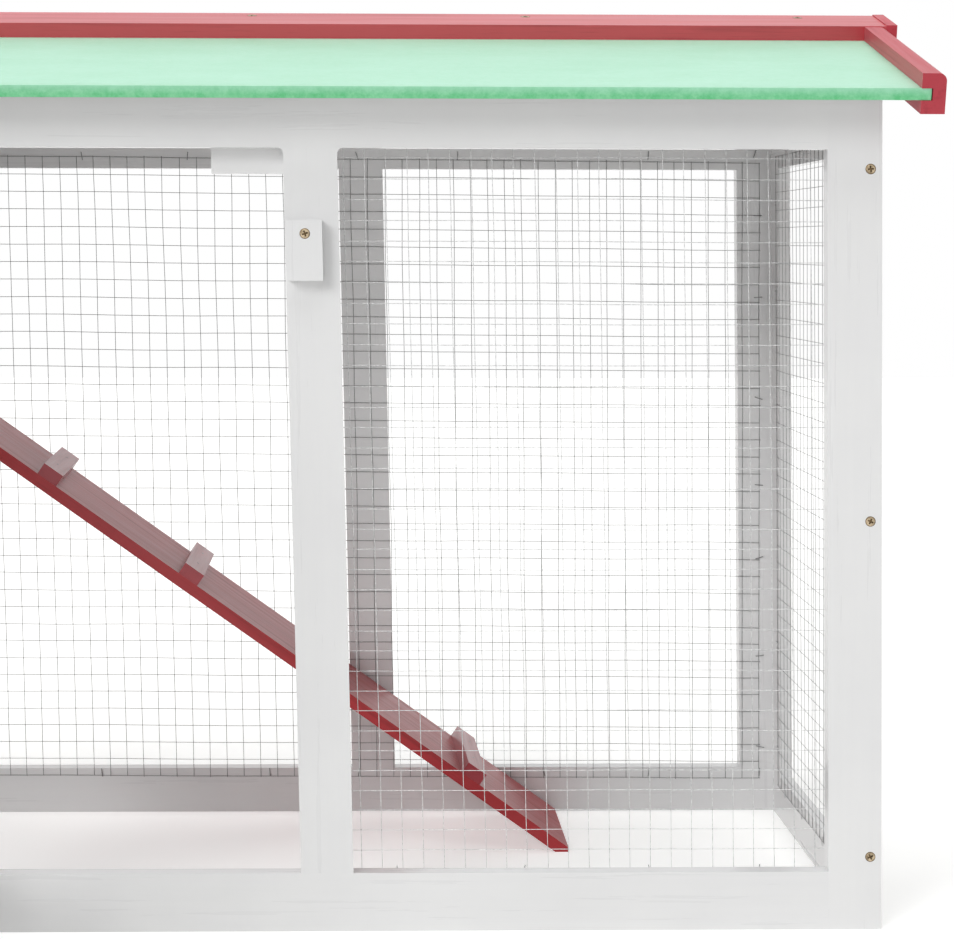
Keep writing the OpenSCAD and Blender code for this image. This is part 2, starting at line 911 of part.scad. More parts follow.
module ramp_hinge_fixed() {
    color(STEEL)
        ramp_hinge_place()
            rotate([-90, 0, 0])
                hinge_fixed(ramp_hinge_w);
}

module ramp_hinge_leaf() {
    color(STEEL)
        ramp_hinge_place()
            rotate([0, ramp_angle, 0])
                rotate([-90, 0, 0])
                    hinge_moving(ramp_hinge_w);
}

// Roof
function on_slope(l, h) = [
    mid_y - l * cos(slope) - h * sin(slope),
    ridge_z - l * sin(slope) + h * cos(slope)
];
function at_apex(h) = on_slope(-h * tan(slope), h);

// A layer of the front slope, from the apex down to l, between two heights
module layer(l, h, x) {
    along_x([-x, x])
        polygon([at_apex(h[0]), on_slope(l, h[0]), on_slope(l, h[1]), at_apex(h[1])]);
}

module roof_board() {
    difference() {
        layer(roof_l - felt_t, [0, roof_board_t], panel_x);
        ridge_row(wood_clear);
    }
}

// The felt lies on the board and turns down over its edge at the eave
module roof_felt() {
    difference() {
        along_x([-panel_x, panel_x])
            polygon([
                at_apex(roof_board_t), on_slope(roof_l - felt_t, roof_board_t),
                on_slope(roof_l - felt_t, 0), on_slope(roof_l, 0),
                on_slope(roof_l, roof_t), at_apex(roof_t)
            ]);
        ridge_row(wood_clear);
    }
}

module roof_board_front() {
    color(PAINT)
        roof_board();
}

module roof_board_rear() {
    color(PAINT)
        to_rear()
            roof_board();
}

module roof_felt_front() {
    color(FELT)
        roof_felt();
}

module roof_felt_rear() {
    color(FELT)
        to_rear()
            roof_felt();
}

// Section of a gable trim: a C that holds the end of the roof
module trim_section() {
    top = roof_t + jaw_top;
    difference() {
        translate([trim_x, -jaw_low])
            square([trim_w, jaw_low + top]);
        translate([trim_x - over, -groove_fit])
            square([groove_in + over, roof_t + 2 * groove_fit]);
        translate([roof_x - trim_r, top - trim_r])
            difference() {
                square(trim_r + over);
                circle(r = trim_r);
            }
    }
}

module trim() {
    color(RED)
        difference() {
            translate([0, mid_y, ridge_z])
                rotate([slope, 0, 0])
                    difference() {
                        translate([0, ridge_w, 0])
                            rotate([90, 0, 0])
                                linear_extrude(ridge_w + trim_l)
                                    trim_section();
                        translate([trim_x - over, -ridge_w, roof_t])
                            cube([trim_w + 2 * over, 3 * ridge_w, ridge_t + jaw_top]);
                    }
            translate([trim_x - over, mid_y, 0])
                cube([trim_w + 2 * over, frame_d, ridge_z + 2 * ridge_w]);
        }
}

module gable_trim_right_front() {
    trim();
}

module gable_trim_right_rear() {
    to_rear()
        trim();
}

module gable_trim_left_front() {
    mirror([1, 0, 0])
        trim();
}

module gable_trim_left_rear() {
    mirror([1, 0, 0])
        to_rear()
            trim();
}

module ridge_board() {
    difference() {
        layer(ridge_w, [roof_t, roof_t + ridge_t], roof_x);
        ridge_row(wood_clear);
        translate([-end_x, mid_y - ridge_seam / 2, ridge_z])
            cube([2 * end_x, ridge_seam, ridge_w]);
    }
}

module ridge_boards() {
    color(RED) {
        ridge_board();
        to_rear()
            ridge_board();
    }
}

module ridge_ends() {
    top = roof_t + ridge_t + end_proud;
    color(RED)
        for (side = [0, 1])
            mirror([side, 0, 0])
                along_x([roof_x, end_x])
                    polygon([
                        at_apex(roof_t), on_slope(ridge_w, roof_t), on_slope(ridge_w, top), at_apex(top),
                        [2 * mid_y - on_slope(ridge_w, top)[0], on_slope(ridge_w, top)[1]],
                        [2 * mid_y - on_slope(ridge_w, roof_t)[0], on_slope(ridge_w, roof_t)[1]]
                    ]);
}

front_post_right();
front_mid_post();
front_jamb_post();
front_post_left();
front_bottom_rail();
front_top_rail();
front_house_rail();
rear_post_right();
rear_mid_post();
rear_jamb_post();
rear_post_left();
rear_bottom_rail();
rear_top_rail();
side_rail_right();
side_gable_right();
side_front_stile_right();
side_rear_stile_right();
side_rail_left();
side_front_stile_left();
side_rear_stile_left();
house_side_wall();
house_rear_wall();
house_floor();
partition_wall();
partition_lintel();
front_net();
side_net();
rear_net();
lower_front_net();
lower_side_net();
lower_rear_net();
run_door_hinge_stile();
run_door_latch_stile();
run_door_top_rail();
run_door_bottom_rail();
run_door_net();
run_door_hinge_leaves();
frame_hinge_leaves();
house_door();
house_door_hinge_leaves();
door_stop();
run_turn_button();
house_turn_button();
wood_screws();
litter_tray();
tray_front();
ramp_board();
ramp_cleats();
ramp_hinge_fixed();
ramp_hinge_leaf();
roof_board_front();
roof_board_rear();
roof_felt_front();
roof_felt_rear();
gable_trim_right_front();
gable_trim_right_rear();
gable_trim_left_front();
gable_trim_left_rear();
ridge_boards();
ridge_ends();
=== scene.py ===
import math
import random
from typing import NamedTuple

import bpy
from mathutils import Matrix, Vector


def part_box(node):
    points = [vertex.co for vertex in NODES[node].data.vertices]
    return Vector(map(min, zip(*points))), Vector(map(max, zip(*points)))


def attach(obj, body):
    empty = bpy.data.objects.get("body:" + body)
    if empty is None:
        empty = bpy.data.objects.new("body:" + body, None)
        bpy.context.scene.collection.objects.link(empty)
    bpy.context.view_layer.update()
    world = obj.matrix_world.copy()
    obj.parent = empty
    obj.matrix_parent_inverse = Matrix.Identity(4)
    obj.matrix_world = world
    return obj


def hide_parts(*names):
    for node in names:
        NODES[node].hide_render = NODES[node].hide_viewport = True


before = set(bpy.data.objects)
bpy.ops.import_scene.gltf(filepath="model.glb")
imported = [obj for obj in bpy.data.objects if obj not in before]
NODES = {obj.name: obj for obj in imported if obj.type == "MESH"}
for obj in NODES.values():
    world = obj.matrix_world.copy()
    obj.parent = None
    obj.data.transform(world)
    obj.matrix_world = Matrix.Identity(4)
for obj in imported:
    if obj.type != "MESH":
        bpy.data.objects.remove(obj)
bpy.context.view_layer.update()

MM = 0.001

FRONT = Vector((0, -1, 0))
REAR = Vector((0, 1, 0))
LEFT = Vector((-1, 0, 0))
UP = Vector((0, 0, 1))

# Places of the frame, from the CAD
FRONT_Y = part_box("front_bottom_rail")[0].y
REAR_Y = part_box("rear_bottom_rail")[1].y
RIGHT_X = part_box("front_post_right")[1].x
OPENING_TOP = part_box("front_mid_post")[1].z

# The roof: its slope, the height of the slopes' meeting line on the frame, and how far above
# that line the ridge boards' outer faces lie
SLOPE = math.radians(15.1)
RIDGE_Z = 836.408 * MM
RIDGE_OUT = 24.5 * MM

# The hinges: how far a pin's middle stands off the wood, half of a door's gap, a leaf's height,
# and how far a leaf's outer face lies from the pin's middle
PIN_OUT = 4 * MM
HALF_GAP = 1.25 * MM
LEAF_H = 50 * MM
LEAF_FACE = 2.5 * MM
PIN_Y = FRONT_Y - PIN_OUT
RUN_PIN_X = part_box("front_jamb_post")[1].x + HALF_GAP
HOUSE_PIN_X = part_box("front_post_left")[1].x + HALF_GAP

# The ramp: its pin, the ways down it and square off it, and its length from pin to foot
RAMP_ANGLE = math.radians(36.0706)
RAMP_FOOT_IN = 266 * MM
RAMP_LOW, RAMP_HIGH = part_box("ramp_board")
RAMP_PIN = Vector((
    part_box("front_jamb_post")[1].x + PIN_OUT,
    (RAMP_LOW.y + RAMP_HIGH.y) / 2,
    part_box("house_floor")[1].z + PIN_OUT,
))
RAMP_DOWN = Vector((math.cos(RAMP_ANGLE), 0, -math.sin(RAMP_ANGLE)))
RAMP_OFF = Vector((math.sin(RAMP_ANGLE), 0, math.cos(RAMP_ANGLE)))
RAMP_RUN = RIGHT_X - RAMP_FOOT_IN - RAMP_PIN.x + PIN_OUT * math.sin(RAMP_ANGLE)
RAMP_L = RAMP_RUN / math.cos(RAMP_ANGLE)


def new_object(name, data=None):
    thing = bpy.data.objects.new(name, data)
    bpy.context.scene.collection.objects.link(thing)
    return thing


# Camera, fitted to the straight edges of the photo
CAMERA_PLACE = (RIGHT_X - 475.81 * MM, FRONT_Y - 2052.89 * MM, 629.49 * MM)
YAW = -0.0196
PITCH = 0.1014
ROLL = 0.0022
LENS = 85.66
SHIFT_X = 0.0755
SHIFT_Y = 0.0110
# The photo is a crop whose uprights lean a little, so the image's up direction leans too
LEAN = 0.0224


def camera_rows(yaw, pitch, roll):
    """The image's right, down and forward directions."""
    turn = Matrix(((math.cos(yaw), math.sin(yaw), 0), (-math.sin(yaw), math.cos(yaw), 0), (0, 0, 1)))
    base = Matrix(((1, 0, 0), (0, 0, -1), (0, 1, 0)))
    tip = Matrix(((1, 0, 0), (0, math.cos(pitch), -math.sin(pitch)), (0, math.sin(pitch), math.cos(pitch))))
    lean = Matrix(((math.cos(roll), -math.sin(roll), 0), (math.sin(roll), math.cos(roll), 0), (0, 0, 1)))
    return lean @ tip @ base @ turn


def make_camera():
    data = bpy.data.cameras.new("camera")
    data.sensor_width = 36
    data.lens = LENS
    data.shift_x = SHIFT_X
    data.shift_y = SHIFT_Y
    data.clip_end = 100
    camera = new_object("camera", data)
    right, down, forward = camera_rows(YAW, PITCH, ROLL)
    up = LEAN * right - down
    camera.parent = new_object("camera_holder")
    camera.matrix_parent_inverse = Matrix([*zip(right, up, -forward, CAMERA_PLACE), (0, 0, 0, 1)])
    bpy.context.scene.camera = camera


# Node helpers
ALONG_X = (0, 0, 0)
ALONG_Y = (0, 0, -math.pi / 2)
ALONG_Z = (0, math.pi / 2, 0)
DOWN_RAMP = (0, -RAMP_ANGLE, 0)
DOWN_FRONT = (-SLOPE, 0, -math.pi / 2)
DOWN_REAR = (SLOPE, 0, -math.pi / 2)


def new_material(name):
    material = bpy.data.materials.new(name)
    material.use_nodes = True
    tree = material.node_tree
    return material, tree, tree.nodes["Principled BSDF"]


def put(node, values):
    for socket, value in values.items():
        node.inputs[socket].default_value = value


def add(tree, kind, values):
    node = tree.nodes.new(kind)
    put(node, values)
    return node


def noise(tree, place, scale=1.0, detail=3.0, rough=0.55):
    node = add(tree, "ShaderNodeTexNoise", {"Scale": scale, "Detail": detail, "Roughness": rough})
    tree.links.new(place, node.inputs["Vector"])
    return node.outputs["Fac"]


def place_along(tree, turn=ALONG_X, stretch=(1, 1, 1)):
    """Object coordinates turned so that X runs along the grain, then stretched."""
    coords = tree.nodes.new("ShaderNodeTexCoord")
    rotate = add(tree, "ShaderNodeMapping", {"Rotation": turn})
    scale = add(tree, "ShaderNodeMapping", {"Scale": stretch})
    tree.links.new(coords.outputs["Object"], rotate.inputs["Vector"])
    tree.links.new(rotate.outputs["Vector"], scale.inputs["Vector"])
    return scale.outputs["Vector"]


def spread(tree, value, taken, given=(0.0, 1.0)):
    """Takes the first range of the value to the second, and holds what lies past its ends."""
    ends = {"From Min": taken[0], "From Max": taken[1], "To Min": given[0], "To Max": given[1]}
    node = add(tree, "ShaderNodeMapRange", ends)
    tree.links.new(value, node.inputs["Value"])
    return node.outputs["Result"]


def mix(tree, factor, first, second):
    """Mixes two colours, each a tuple or a socket."""
    node = tree.nodes.new("ShaderNodeMix")
    node.data_type = "RGBA"
    tree.links.new(factor, node.inputs[0])
    for socket, colour in ((node.inputs[6], first), (node.inputs[7], second)):
        if isinstance(colour, tuple):
            socket.default_value = colour + (1,)
        else:
            tree.links.new(colour, socket)
    return node.outputs[2]


def add_values(tree, first, second, weight):
    """The first value plus the second times its weight."""
    node = tree.nodes.new("ShaderNodeMath")
    node.operation = "MULTIPLY_ADD"
    tree.links.new(second, node.inputs[0])
    node.inputs[1].default_value = weight
    tree.links.new(first, node.inputs[2])
    return node.outputs[0]


def bump(tree, shader, height, strength, distance):
    node = add(tree, "ShaderNodeBump", {"Strength": strength, "Distance": distance})
    tree.links.new(height, node.inputs["Height"])
    tree.links.new(node.outputs["Normal"], shader.inputs["Normal"])


# Materials
def painted_wood(name, turn):
    """Smooth white paint over pine: brush marks over a faint grain."""
    material, tree, shader = new_material(name)
    grain = noise(tree, place_along(tree, turn, (5, 130, 130)), detail=5.0, rough=0.6)
    marks = noise(tree, place_along(tree, turn, (9, 700, 700)), detail=2.0)
    patches = noise(tree, place_along(tree, turn), scale=9.0)
    tone = spread(tree, add_values(tree, patches, grain, 0.4), (0.4, 1.0))
    colour = mix(tree, tone, (0.775, 0.775, 0.782), (0.825, 0.825, 0.825))
    tree.links.new(colour, shader.inputs["Base Color"])
    tree.links.new(spread(tree, grain, (0.3, 0.7), (0.25, 0.38)), shader.inputs["Roughness"])
    put(shader, {"Specular IOR Level": 0.5, "Coat Weight": 0.6, "Coat Roughness": 0.16})
    bump(tree, shader, add_values(tree, grain, marks, 0.35), strength=0.35, distance=0.2 * MM)
    return material


# Three shades of a stain: where it is thin, where it lies even, and in the grain
ROOF_STAIN = ((0.53, 0.052, 0.074), (0.475, 0.042, 0.062), (0.32, 0.027, 0.042))
RIDGE_STAIN = ((0.57, 0.054, 0.072), (0.515, 0.044, 0.060), (0.35, 0.027, 0.040))
RAMP_STAIN = ((0.47, 0.023, 0.030), (0.41, 0.016, 0.022), (0.25, 0.009, 0.013))
CLEAT_STAIN = ((0.39, 0.026, 0.038), (0.34, 0.020, 0.031), (0.21, 0.012, 0.018))


def stained_wood(name, turn, shades, coat, gloss=0.5):
    """Thin red stain on pine: the grain and the pores show through, with a soft sheen."""
    material, tree, shader = new_material(name)
    grain = noise(tree, place_along(tree, turn, (4, 95, 95)), detail=5.0, rough=0.62)
    pores = noise(tree, place_along(tree, turn, (22, 900, 900)), rough=0.6)
    patches = noise(tree, place_along(tree, turn, (3, 14, 14)))
    thin, even, dark = shades
    colour = mix(tree, spread(tree, patches, (0.35, 0.68)), even, thin)
    colour = mix(tree, spread(tree, grain, (0.54, 0.72), (0, 0.75)), colour, dark)
    colour = mix(tree, spread(tree, pores, (0.58, 0.75), (0, 0.55)), colour, dark)
    tree.links.new(colour, shader.inputs["Base Color"])
    tree.links.new(spread(tree, grain, (0.3, 0.7), (0.32, 0.46)), shader.inputs["Roughness"])
    put(shader, {
        "Specular IOR Level": gloss,
        "Sheen Weight": 0.1,
        "Sheen Roughness": 0.4,
        "Sheen Tint": (1.0, 0.85, 0.86, 1),
        "Coat Weight": coat,
        "Coat Roughness": 0.25,
    })
    bump(tree, shader, add_values(tree, grain, pores, 0.6), strength=0.45, distance=0.3 * MM)
    return material


def mineral_felt(name, painted_sheen_low, painted_sheen_high):
    """Green roofing felt: pale granules over a green ground, blotched. The top's pale greens are partly
    painted sheen, for the light that the upward slope catches.
    Down the folded edge, between the two heights, the painted sheen and the granules fade out and the deeper
    green ground shows."""
    material, tree, shader = new_material(name)
    plain = place_along(tree)
    drift = place_along(tree, stretch=(0.35, 1, 1))
    blotches = noise(tree, drift, scale=28.0, detail=4.0, rough=0.6)
    mottle = noise(tree, plain, scale=130.0, detail=4.0, rough=0.7)
    granules = noise(tree, plain, scale=1500.0, detail=2.0, rough=0.6)
    tone = add_values(tree, blotches, mottle, 0.8)
    # The top's colours hold the felt's own blotches and a painted sheen, paler than the ground
    top = mix(tree, spread(tree, tone, (0.7, 1.15)), (0.40, 0.81, 0.58), (0.465, 0.865, 0.655))
    top = mix(tree, spread(tree, granules, (0.5, 0.75), (0, 0.35)), top, (0.58, 0.91, 0.76))
    fold = mix(tree, spread(tree, mottle, (0.35, 0.65)), (0.11, 0.58, 0.23), (0.26, 0.73, 0.40))
    axes = tree.nodes.new("ShaderNodeSeparateXYZ")
    tree.links.new(plain, axes.inputs["Vector"])
    # Between the two heights the fold's green goes over to the top's painted sheen
    colour = mix(tree, spread(tree, axes.outputs["Z"], (painted_sheen_low, painted_sheen_high)), fold, top)
    tree.links.new(colour, shader.inputs["Base Color"])
    put(shader, {"Roughness": 0.31, "Sheen Weight": 0.1, "Sheen Roughness": 0.3})
    bump(tree, shader, add_values(tree, granules, mottle, 0.8), strength=0.42, distance=0.4 * MM)
    return material


def zinc_wire(name, tone, metal):
    """Hot-dipped wire, dull grey with paler beads of zinc. tone darkens both greys; the low tones paint the
    shade on the side and rear nets.
    """
    material, tree, shader = new_material(name)
    beads = noise(tree, place_along(tree), scale=420.0, rough=0.6)
    dark = (0.52 * tone, 0.525 * tone, 0.53 * tone)
    pale = (0.80 * tone, 0.805 * tone, 0.80 * tone)
    colour = mix(tree, spread(tree, beads, (0.4, 0.65)), dark, pale)
    tree.links.new(colour, shader.inputs["Base Color"])
    tree.links.new(spread(tree, beads, (0.3, 0.7), (0.34, 0.55)), shader.inputs["Roughness"])
    put(shader, {"Metallic": metal})
    bump(tree, shader, beads, strength=0.3, distance=0.2 * MM)
    return material


def plated_steel(name, dark, pale, rough):
    """Bright plated steel with fine turning marks and dull spots."""
    material, tree, shader = new_material(name)
    spots = noise(tree, place_along(tree), scale=320.0, detail=4.0, rough=0.65)
    marks = noise(tree, place_along(tree, ALONG_Z, (60, 2500, 2500)), detail=2.0)
    colour = mix(tree, spread(tree, spots, (0.4, 0.65)), dark, pale)
    tree.links.new(colour, shader.inputs["Base Color"])
    tree.links.new(spread(tree, spots, (0.3, 0.7), (rough, rough + 0.18)), shader.inputs["Roughness"])
    put(shader, {"Metallic": 0.9})
    bump(tree, shader, add_values(tree, spots, marks, 0.4), strength=0.25, distance=0.2 * MM)
    return material


def moulded_plastic(name):
    """Grey moulded tray: a fine eggshell grain with scuffs."""
    material, tree, shader = new_material(name)
    shell = noise(tree, place_along(tree), scale=900.0, detail=2.0)
    scuffs = noise(tree, place_along(tree, ALONG_Y, (14, 320, 320)), detail=4.0, rough=0.7)
    colour = mix(tree, spread(tree, scuffs, (0.55, 0.8)), (0.255, 0.285, 0.305), (0.36, 0.39, 0.41))
    tree.links.new(colour, shader.inputs["Base Color"])
    tree.links.new(spread(tree, scuffs, (0.3, 0.75), (0.38, 0.6)), shader.inputs["Roughness"])
    bump(tree, shader, shell, strength=0.3, distance=0.2 * MM)
    return material


def make_materials():
    felt_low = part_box("roof_felt_front")[0].z
    return {
        "white_x": painted_wood("white_along_x", ALONG_X),
        "white_y": painted_wood("white_along_y", ALONG_Y),
        "white_z": painted_wood("white_along_z", ALONG_Z),
        "red_x": stained_wood("red_along_x", ALONG_X, RIDGE_STAIN, coat=0.25),
        "red_y": stained_wood("red_along_y", ALONG_Y, ROOF_STAIN, coat=0.0, gloss=0.2),
        "cleat_y": stained_wood("cleat_red_along_y", ALONG_Y, CLEAT_STAIN, coat=0.45),
        "red_ramp": stained_wood("red_down_the_ramp", DOWN_RAMP, RAMP_STAIN, coat=0.08),
        "red_front": stained_wood("red_down_front_slope", DOWN_FRONT, ROOF_STAIN, coat=0.0, gloss=0.35),
        "red_rear": stained_wood("red_down_rear_slope", DOWN_REAR, ROOF_STAIN, coat=0.0, gloss=0.35),
        "felt": mineral_felt("green_felt", felt_low + 3 * MM, felt_low + 13 * MM),
        "wire": zinc_wire("zinc_wire", tone=0.95, metal=0.7),
        # The side net's wire is painted darker: painted shade inside the cage
        "side_wire_painted_shade": zinc_wire("worn_zinc_wire", tone=0.40, metal=0.4),
        # The rear nets' wire is painted darker still: painted shade under the roof
        "rear_wire_painted_shade": zinc_wire("far_zinc_wire", tone=0.36, metal=0.4),
        # A dull dark grey: the cleat nails have it, and on the rear staples and in the hinge screws' rims
        # and recesses it is painted shade
        "dull_wire_and_painted_shade": zinc_wire("dull_zinc_wire", tone=0.43, metal=0.4),
        "yellow": plated_steel("yellow_zinc", (0.24, 0.185, 0.115), (0.56, 0.45, 0.31), rough=0.28),
        # A darker copy of the yellow zinc: painted shade in the screw heads' rims and recesses
        "yellow_zinc_painted_shade": plated_steel("dark_yellow_zinc", (0.09, 0.06, 0.03), (0.21, 0.14, 0.07), rough=0.42),
        "steel": plated_steel("bright_steel", (0.42, 0.43, 0.45), (0.72, 0.73, 0.74), rough=0.24),
        "plastic": moulded_plastic("grey_plastic"),
    }


# The CAD's nodes under each finish
NODE_FINISH = {
    "white_x": [
        "front_bottom_rail", "front_top_rail", "front_house_rail", "rear_bottom_rail", "rear_top_rail",
        "run_door_top_rail", "run_door_bottom_rail", "tray_front", "house_floor", "door_stop",
        "roof_board_front", "roof_board_rear",
    ],
    "white_y": ["side_rail_right", "side_gable_right", "side_rail_left", "partition_lintel"],
    "white_z": [
        "front_post_right", "front_mid_post", "front_jamb_post", "front_post_left", "rear_post_right",
        "rear_mid_post", "rear_jamb_post", "rear_post_left", "side_front_stile_right",
        "side_rear_stile_right", "side_front_stile_left", "side_rear_stile_left", "house_side_wall",
        "house_rear_wall", "partition_wall", "run_door_hinge_stile", "run_door_latch_stile",
        "house_door", "run_turn_button", "house_turn_button",
    ],
    "red_x": ["ridge_boards"],
    "red_y": ["ridge_ends"],
    "cleat_y": ["ramp_cleats"],
    "red_ramp": ["ramp_board"],
    "red_front": ["gable_trim_right_front", "gable_trim_left_front"],
    "red_rear": ["gable_trim_right_rear", "gable_trim_left_rear"],
    "felt": ["roof_felt_front", "roof_felt_rear"],
    "steel": [
        "run_door_hinge_leaves", "frame_hinge_leaves", "house_door_hinge_leaves",
        "ramp_hinge_fixed", "ramp_hinge_leaf",
    ],
    "plastic": ["litter_tray"],
}

# Widths of the eased edges in millimetres, with their nodes
EASED = {
    0.5: ["run_door_hinge_stile", "run_door_latch_stile", "run_door_top_rail", "run_door_bottom_rail"],
    0.8: [
        "ramp_board", "ramp_cleats", "house_door", "tray_front", "door_stop", "run_turn_button",
        "house_turn_button", "litter_tray",
    ],
    1.0: ["ridge_boards"],
    2.0: [
        "gable_trim_right_front", "gable_trim_right_rear", "gable_trim_left_front",
        "gable_trim_left_rear",
    ],
    3.5: ["ridge_ends"],
}
EASE_SEGMENTS = 3
EASE_FROM = math.radians(40)


def finish_nodes(materials):
    for finish, names in NODE_FINISH.items():
        for name in names:
            slots = NODES[name].data.materials
            slots.clear()
            slots.append(materials[finish])
    for width, names in EASED.items():
        for name in names:
            ease = NODES[name].modifiers.new("eased_edges", "BEVEL")
            ease.width = width * MM
            ease.segments = EASE_SEGMENTS
            ease.limit_method = "ANGLE"
            ease.angle_limit = EASE_FROM
            ease.harden_normals = False


# Mesh helpers
def make_piece(name, points, faces, material, body, smooth=True):
    mesh = bpy.data.meshes.new(name)
    mesh.from_pydata([tuple(p) for p in points], [], faces)
    mesh.validate()
    mesh.update()
    for face in mesh.polygons:
        face.use_smooth = smooth
    mesh.materials.append(material)
    piece = new_object(name, mesh)
    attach(piece, body)
    return piece


def add_rings(points, faces, rings):
    """Adds a closed form through rings that have the same number of points."""
    start = len(points)
    count = len(rings[0])
    for ring in rings:
        points.extend(ring)
    for k in range(len(rings) - 1):
        for i in range(count):
            a = start + k * count + i
            b = start + k * count + (i + 1) % count
            faces.append((a, b, b + count, a + count))
    faces.append(tuple(start + i for i in reversed(range(count))))
    faces.append(tuple(start + (len(rings) - 1) * count + i for i in range(count)))


def add_wire(points, faces, line, side, radius, sides=6):
    """Adds a round wire along a line of points; side is a unit vector square to it."""
    angles = [2 * math.pi * (i + 0.5) / sides for i in range(sides)]
    rings = []
    last = len(line) - 1
    for k, place in enumerate(line):
        ahead = line[min(k + 1, last)] - line[max(k - 1, 0)]
        across = ahead.cross(side).normalized()
        flat = across.cross(ahead).normalized()
        rings.append([place + radius * (math.cos(a) * flat + math.sin(a) * across) for a in angles])
    add_rings(points, faces, rings)


def add_turned(points, faces, base, out, profile, sides):
    """Adds a turned shape: profile is a list of (radius, height along out), in millimetres."""
    side = out.orthogonal().normalized()
    other = out.cross(side).normalized()
    angles = [2 * math.pi * i / sides for i in range(sides)]
    rings = []
    for radius, height in profile:
        middle = base + height * MM * out
        rings.append([middle + radius * MM * (math.cos(a) * side + math.sin(a) * other) for a in angles])
    add_rings(points, faces, rings)


# Wire mesh
WIRE_R = 0.31 * MM
CELL = 19.05 * MM
# How far inside the plain grille's edge the first wire lies, and the least for any wire
NET_START = 1.5 * MM
NET_EDGE = 0.6 * MM
# How far each wave of the sheet's buckles reaches, and the waves' rates in radians a metre
BUCKLE = 0.25 * MM
WAVES = 7
WAVE_RATES = (10, 34)
# In millimetres: how far a whole wire is off its place, how far each crossing is off the wire,
# and how far a cut end stands past the last crossing
OFF_PLACE = 0.35
OFF_LINE = 0.1
CUT_PAST = (0.3, 1.6)
# The wires' middles off the wood, in radii: uprights lie on the wood, and level wires on them
UPRIGHT_OUT = 1.1
LEVEL_OUT = 2.95


class Net(NamedTuple):
    """Welded mesh that replaces a plain grille of the CAD."""
    name: str
    # The axis that it runs along, 0 for X and 1 for Y, and the side of it that the wood is on
    run: int
    wood: int
    # How far off square the uprights and the level wires were stapled
    lean: float
    rise: float = 0.0
    # The cell's width and height, and a wire's place along and up where the photo shows it
    cell: tuple = (CELL, CELL)
    start: tuple = None
    radius: float = WIRE_R
    finish: str = "wire"
    staple_finish: str = "wire"
    body: str = "cage"


NETS = [
    Net("front_net", run=0, wood=-1, lean=-0.0047, cell=(19.3 * MM, 18.82 * MM),
        start=(RIGHT_X - 406.9 * MM, 71.9 * MM)),
    # The side net's wire is painted darker: painted shade
    Net("side_net", run=1, wood=1, lean=0.003, cell=(19.05 * MM, 19.25 * MM),
        start=(FRONT_Y + 22 * MM, 633.4 * MM), radius=0.27 * MM, finish="side_wire_painted_shade"),
    # The rear nets' wire and staples are painted darker: painted shade under the roof
    Net("rear_net", run=0, wood=1, lean=0.0055, rise=-0.0062, cell=(18.68 * MM, 19.08 * MM),
        start=(RIGHT_X - 32.9 * MM, 37.4 * MM), radius=0.30 * MM, finish="rear_wire_painted_shade",
        staple_finish="dull_wire_and_painted_shade"),
    Net("lower_front_net", run=0, wood=-1, lean=0.004),
    Net("lower_side_net", run=1, wood=-1, lean=-0.004),
    # The lower rear net takes the same painted shade
    Net("lower_rear_net", run=0, wood=1, lean=0.003, finish="rear_wire_painted_shade", staple_finish="dull_wire_and_painted_shade"),
    Net("run_door_net", run=1, wood=-1, lean=0.004, body="run_door"),
]
NET_SEED = 3
SIDE_STAPLE_SEED = 40
LEVEL_STAPLE_SEED = 47


class Buckle:
    """A smooth field of small shifts, the same for the wires both ways."""

    def __init__(self, seed, size):
        rng = random.Random(seed)
        self.waves = []
        for i in range(WAVES):
            along = rng.uniform(*WAVE_RATES)
            up = rng.uniform(*WAVE_RATES)
            self.waves.append((along, up, rng.uniform(0, 6.28), rng.uniform(-1, 1), rng.uniform(-1, 1)))
        self.size = size

    def at(self, u, v):
        du = sum(a * math.sin(x * u + y * v + p) for x, y, p, a, b in self.waves)
        dv = sum(b * math.cos(x * u - y * v + p) for x, y, p, a, b in self.waves)
        return self.size * du, self.size * dv


def steps(start, low, high, pitch):
    """The places of the wires: start plus whole pitches, kept between low and high."""
    first = math.ceil((low - start) / pitch - 1e-6)
    last = math.floor((high - start) / pitch + 1e-6)
    return [start + i * pitch for i in range(first, last + 1)]


def axis_vector(axis):
    way = Vector((0, 0, 0))
    way[axis] = 1
    return way


def wire_net(job, material, u_places, v_places, seed):
    """Makes the net, with uprights at u_places and level wires at v_places. Returns where its
    uprights lie along the axis square to it."""
    name, run, wood, radius = job.name, job.run, job.wood, job.radius
    low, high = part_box(name)
    rng = random.Random(seed)
    buckle = Buckle(seed, BUCKLE)
    thick = 1 - run
    side = axis_vector(thick)
    face = low[thick] if wood < 0 else high[thick]
    near = face - wood * UPRIGHT_OUT * radius
    far = face - wood * LEVEL_OUT * radius
    u_high = u_places[-1]
    v_mid = (v_places[0] + v_places[-1]) / 2

    def point(u, v, depth):
        du, dv = buckle.at(u, v)
        spot = Vector((0, 0, v + dv + job.rise * (u - u_high)))
        spot[run] = u + du + job.lean * (v - v_mid)
        spot[thick] = depth
        return spot

    def off(most):
        return rng.uniform(-most, most) * MM

    def with_ends(places):
        """The places of a wire's crossings, and those of its cut ends."""
        first = places[0] - rng.uniform(*CUT_PAST) * MM
        last = places[-1] + rng.uniform(*CUT_PAST) * MM
        return [first, *places, last]

    points, faces = [], []
    for u in u_places:
        own = off(OFF_PLACE)
        ends = with_ends(v_places)
        line = [point(u + own + off(OFF_LINE), v, near) for v in ends]
        add_wire(points, faces, line, side, radius)
    for v in v_places:
        own = off(OFF_PLACE)
        ends = with_ends(u_places)
        line = [point(u, v + own + off(OFF_LINE), far) for u in ends]
        add_wire(points, faces, line, side, radius)
    net = make_piece("wire_" + name, points, faces, material, job.body)
    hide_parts(name)
    return near


